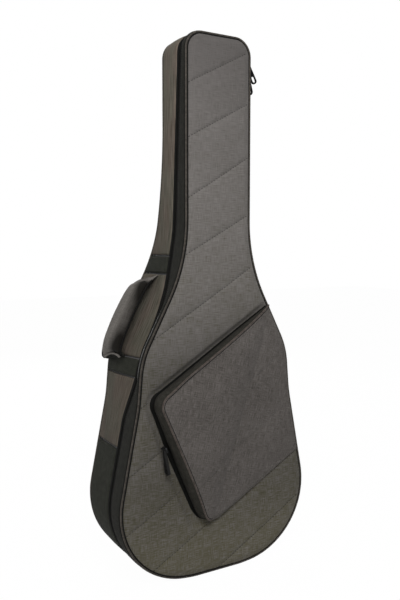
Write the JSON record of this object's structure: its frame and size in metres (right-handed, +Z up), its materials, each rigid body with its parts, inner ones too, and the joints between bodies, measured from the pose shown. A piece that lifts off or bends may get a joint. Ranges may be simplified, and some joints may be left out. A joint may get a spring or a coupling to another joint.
{
  "type": "padded gig bag",
  "caption": "Padded clamshell gig bag for a dreadnought guitar, with a zipped lid, a slanted front pocket, a side handle and back straps.",
  "frame": {"origin": "middle of the flat that the bag stands on, half way through its depth", "axes": "+Z up from the base to the head, -Y out of the lid and its pocket, -X towards the side handle"},
  "size_m": [0.44, 0.2092, 1.09],
  "materials": {
    "front_cloth": "heathered grey-brown woven polyester, matte",
    "pocket_cloth": "heathered dark brown-grey woven polyester, matte",
    "side_cloth": "heathered brown woven polyester, matte",
    "dark_cloth": "plain black woven polyester, matte",
    "rim_cloth": "plain black woven polyester, matte",
    "grip_cloth": "padded heathered grey polyester",
    "piping": "black bound edge cord",
    "zip_tape": "black twill zip tape",
    "zip_coil": "black nylon coil",
    "webbing": "black polypropylene webbing",
    "lining": "dark brushed fleece bonded to foam board",
    "slider_metal": "black painted zinc",
    "pull_rubber": "matte moulded tab",
    "buckle_plastic": "moulded acetal"
  },
  "bodies": {
    "tub": {"side_panel_neck_left": "side_cloth", "handle_patch_upper": "dark_cloth", "side_panel_handle": "side_cloth", "handle_patch_lower": "dark_cloth", "side_panel_waist_left": "side_cloth", "side_panel_right": "side_cloth", "base_panel": "dark_cloth", "side_padding_left": "lining", "side_padding_right": "lining", "back_panel": "side_cloth", "back_padding": "lining", "back_piping": "piping", "zip_tub": "zip_tape", "hinge_web_tub": "webbing", "handle_end_upper": "rim_cloth", "handle_end_lower": "rim_cloth", "neck_cradle": "lining", "tail_block": "lining", "head_pad": "lining", "strap_pad_left": "grip_cloth", "strap_tab_left": "webbing", "strap_webbing_left": "webbing", "strap_buckle_left": "buckle_plastic", "strap_anchor_left": "dark_cloth", "strap_pad_right": "grip_cloth", "strap_tab_right": "webbing", "strap_webbing_right": "webbing", "strap_buckle_right": "buckle_plastic", "strap_anchor_right": "dark_cloth", "strap_yoke": "dark_cloth", "hanging_loop": "webbing"},
    "lid": {"front_panel": "front_cloth", "front_piping": "piping", "lid_rim": "rim_cloth", "lid_padding": "lining", "lid_rim_padding": "lining", "zip_lid": "zip_tape", "hinge_web_lid": "webbing", "pocket_panel": "pocket_cloth", "pocket_gusset_lid": "rim_cloth", "pocket_zip_lid": "zip_coil"},
    "handle": {"handle_grip": "grip_cloth", "handle_binding": "rim_cloth"},
    "neck_strap": {"neck_strap": "lining"},
    "slider_high": {"slider_high": "slider_metal"},
    "pull_high": {"pull_high": "pull_rubber"},
    "slider_low": {"slider_low": "slider_metal"},
    "pull_low": {"pull_low": "pull_rubber"},
    "pocket_flap": {"pocket_flap": "pocket_cloth", "pocket_piping": "piping", "pocket_gusset_flap": "rim_cloth", "pocket_zip_flap": "zip_coil"},
    "pocket_slider": {"pocket_slider": "slider_metal"},
    "pocket_pull": {"pocket_pull": "pull_rubber"}
  },
  "joints": [
    {"name": "lid_hinge", "type": "hinge", "parent": "tub", "child": "lid", "pos_m": [0.2215, -0.027, 0.158], "axis": [0, 0, 1], "range_deg": [0, 170]},
    {"name": "handle_swing", "type": "hinge", "parent": "tub", "child": "handle", "pos_m": [-0.099, 0.031, 0.605], "axis": [-0.4157, 0, -0.9095], "range_deg": [-18, 18], "deforming": ["handle_end_upper", "handle_end_lower"]},
    {"name": "neck_strap_hinge", "type": "hinge", "parent": "tub", "child": "neck_strap", "pos_m": [-0.048, -0.0123, 0.64], "axis": [0, 0, -1], "range_deg": [0, 24]},
    {"name": "slider_high_slide", "type": "slide", "parent": "tub", "child": "slider_high", "axis": [0, -0.0638, 0.998], "range_m": [0, 0.005]},
    {"name": "pull_high_hinge", "type": "hinge", "parent": "slider_high", "child": "pull_high", "pos_m": [0.08193, -0.05449, 1.04986], "axis": [0, -0.998, -0.0638], "range_deg": [-8, 110]},
    {"name": "slider_low_slide", "type": "slide", "parent": "tub", "child": "slider_low", "axis": [0, -0.0638, 0.998], "range_m": [-0.27, 0]},
    {"name": "pull_low_hinge", "type": "hinge", "parent": "slider_low", "child": "pull_low", "pos_m": [0.08193, -0.05353, 1.03486], "axis": [0, -0.998, -0.0638], "range_deg": [-10, 4]},
    {"name": "pocket_flap_fold", "type": "hinge", "parent": "lid", "child": "pocket_flap", "pos_m": [-0.022, -0.092, 0.11], "axis": [0.3073, 0, 0.9516], "range_deg": [0, 75]},
    {"name": "pocket_slider_slide", "type": "slide", "parent": "lid", "child": "pocket_slider", "axis": [0.4097, 0.0426, -0.9112], "range_m": [-0.065, 0.15]},
    {"name": "pocket_pull_hinge", "type": "hinge", "parent": "pocket_slider", "child": "pocket_pull", "pos_m": [-0.11135, -0.09473, 0.29424], "axis": [-0.0175, 0.9991, 0.0389], "range_deg": [-15, 90]}
  ]
}
